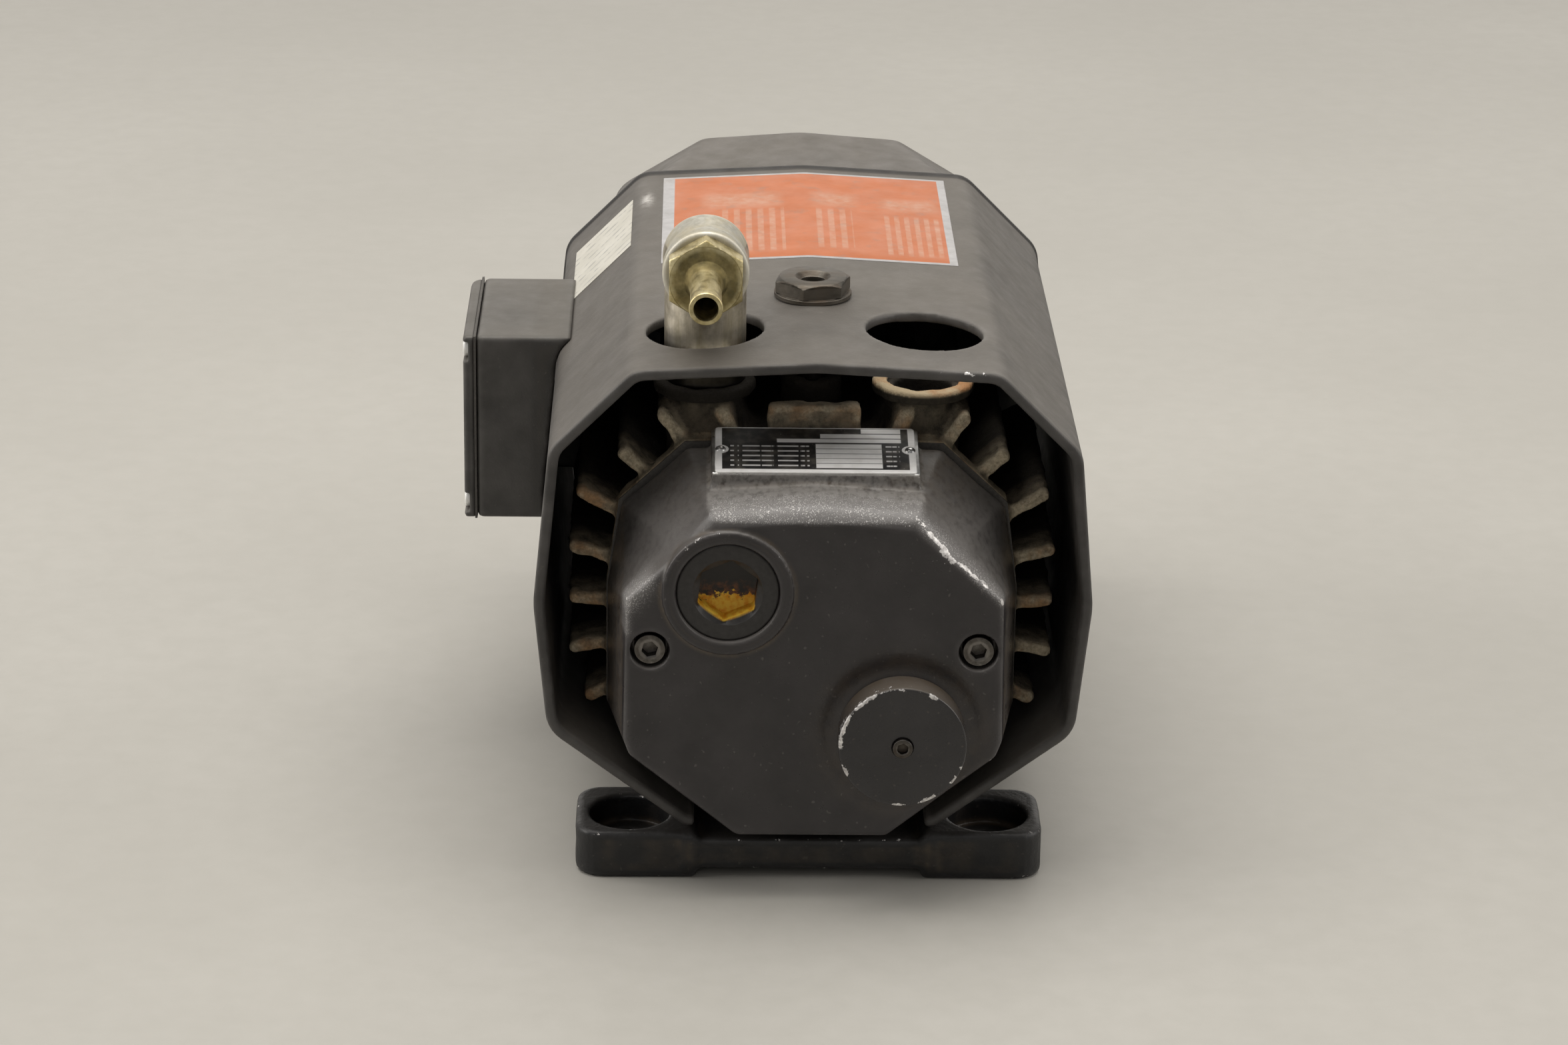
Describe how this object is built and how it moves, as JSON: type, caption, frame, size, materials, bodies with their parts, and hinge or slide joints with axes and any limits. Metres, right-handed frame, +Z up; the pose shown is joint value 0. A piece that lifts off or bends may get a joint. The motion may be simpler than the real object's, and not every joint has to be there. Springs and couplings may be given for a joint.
{
  "type": "rotary vane vacuum pump",
  "caption": "Air-cooled rotary vane vacuum pump with a built-in motor under a faceted hood, a front filter cover, two top ports, a hose tail, a side terminal box and cast feet.",
  "frame": {"origin": "centre of the foot bolt pattern, on the plane the feet stand on", "axes": "+Z up, -Y to the front (the filter cover), +X to the right seen from the front; the shaft runs along Y"},
  "size_m": [0.2648, 0.3872, 0.2726],
  "materials": {
    "black_paint": "worn satin black paint",
    "hood_paint": "semi-matt charcoal paint",
    "rusty_casting": "rough casting with brown rust",
    "machined_iron": "machined",
    "steel": "ground",
    "dark_steel": "blackened and dusty",
    "bright_steel": "zinc plated",
    "carbon": "pressed carbon",
    "felt": "felt",
    "gasket": "matt",
    "filter_paper": "pleated paper",
    "plate_metal": "satin with black print fields",
    "zinc_fitting": "yellow zinc plating, worn",
    "brass": "tarnished",
    "copper": "enamelled copper wire",
    "fan_plastic": "moulded",
    "orange_label": "printed film",
    "white_label": "printed film",
    "box_plastic": "moulded, charcoal"
  },
  "bodies": {
    "pump_frame": {"foot": "black_paint", "foot_screws": "dark_steel", "cylinder": "rusty_casting", "front_end_plate": "machined_iron", "rear_end_plate": "machined_iron", "end_plate_screws": "dark_steel", "front_bearing_outer_ring": "steel", "middle_bearing_outer_ring": "steel", "rear_bearing_outer_ring": "steel", "shaft_seals": "felt", "cover_gasket": "gasket", "front_cover": "black_paint", "cover_screws": "dark_steel", "hex_plug": "dark_steel", "filter_cap": "black_paint", "filter_cap_screw": "dark_steel", "inlet_filter": "filter_paper", "exhaust_filter": "filter_paper", "nameplate": "plate_metal", "nameplate_backing": "plate_metal", "nameplate_rivets": "bright_steel", "inlet_elbow": "zinc_fitting", "hose_tail": "brass", "motor_housing": "black_paint", "stator_core": "machined_iron", "stator_windings": "copper", "motor_end_shield": "black_paint", "motor_screws": "dark_steel", "fan_cover": "hood_paint", "fan_cover_screws": "dark_steel", "hood": "hood_paint", "hood_stud": "steel", "hood_nut": "dark_steel", "warning_label": "orange_label", "info_label": "white_label", "terminal_box": "box_plastic", "terminal_box_lid": "box_plastic", "lid_gasket": "gasket", "lid_screws": "bright_steel", "terminal_block": "box_plastic", "cable_gland": "box_plastic"},
    "rotor_assembly": {"shaft": "steel", "rotor": "machined_iron", "rotor_key": "steel", "motor_rotor": "machined_iron", "fan": "fan_plastic", "front_bearing_inner_ring": "steel", "middle_bearing_inner_ring": "steel", "rear_bearing_inner_ring": "steel"},
    "vane_1_body": {"vane_1": "carbon"},
    "vane_2_body": {"vane_2": "carbon"},
    "vane_3_body": {"vane_3": "carbon"},
    "vane_4_body": {"vane_4": "carbon"},
    "vane_5_body": {"vane_5": "carbon"},
    "vane_6_body": {"vane_6": "carbon"},
    "vane_7_body": {"vane_7": "carbon"},
    "front_bearing_balls_set": {"front_bearing_balls": "steel"},
    "middle_bearing_balls_set": {"middle_bearing_balls": "steel"},
    "rear_bearing_balls_set": {"rear_bearing_balls": "steel"}
  },
  "joints": [
    {"name": "shaft_spin", "type": "hinge", "parent": "pump_frame", "child": "rotor_assembly", "pos_m": [0, 0, 0.112], "axis": [0, -1, 0], "continuous": true},
    {"name": "vane_1_slide", "type": "slide", "parent": "rotor_assembly", "child": "vane_1_body", "axis": [-0.4339, 0, 0.901], "range_m": [0, 0.00038]},
    {"name": "vane_2_slide", "type": "slide", "parent": "rotor_assembly", "child": "vane_2_body", "axis": [0.9749, 0, -0.2225], "range_m": [-0.00377, 0]},
    {"name": "vane_3_slide", "type": "slide", "parent": "rotor_assembly", "child": "vane_3_body", "axis": [0.7818, 0, 0.6235], "range_m": [-0.008, 0]},
    {"name": "vane_4_slide", "type": "slide", "parent": "rotor_assembly", "child": "vane_4_body", "axis": [0, 0, 1], "range_m": [-0.00488, 0]},
    {"name": "vane_5_slide", "type": "slide", "parent": "rotor_assembly", "child": "vane_5_body", "axis": [0.7818, 0, -0.6235], "range_m": [0, 0.00176]},
    {"name": "vane_6_slide", "type": "slide", "parent": "rotor_assembly", "child": "vane_6_body", "axis": [0.9749, 0, 0.2225], "range_m": [0, 0.00377]},
    {"name": "vane_7_slide", "type": "slide", "parent": "rotor_assembly", "child": "vane_7_body", "axis": [0.4339, 0, 0.901], "range_m": [0, 0.00038]},
    {"name": "front_bearing_roll", "type": "hinge", "parent": "pump_frame", "child": "front_bearing_balls_set", "pos_m": [0, -0.052, 0.112], "axis": [0, -1, 0], "continuous": true},
    {"name": "middle_bearing_roll", "type": "hinge", "parent": "pump_frame", "child": "middle_bearing_balls_set", "pos_m": [0, 0.0515, 0.112], "axis": [0, -1, 0], "continuous": true},
    {"name": "rear_bearing_roll", "type": "hinge", "parent": "pump_frame", "child": "rear_bearing_balls_set", "pos_m": [0, 0.17, 0.112], "axis": [0, -1, 0], "continuous": true}
  ],
  "couplings": [
    {"joint": "front_bearing_roll", "follows": "shaft_spin", "ratio": 0.3836},
    {"joint": "middle_bearing_roll", "follows": "shaft_spin", "ratio": 0.3987},
    {"joint": "rear_bearing_roll", "follows": "shaft_spin", "ratio": 0.3842}
  ]
}
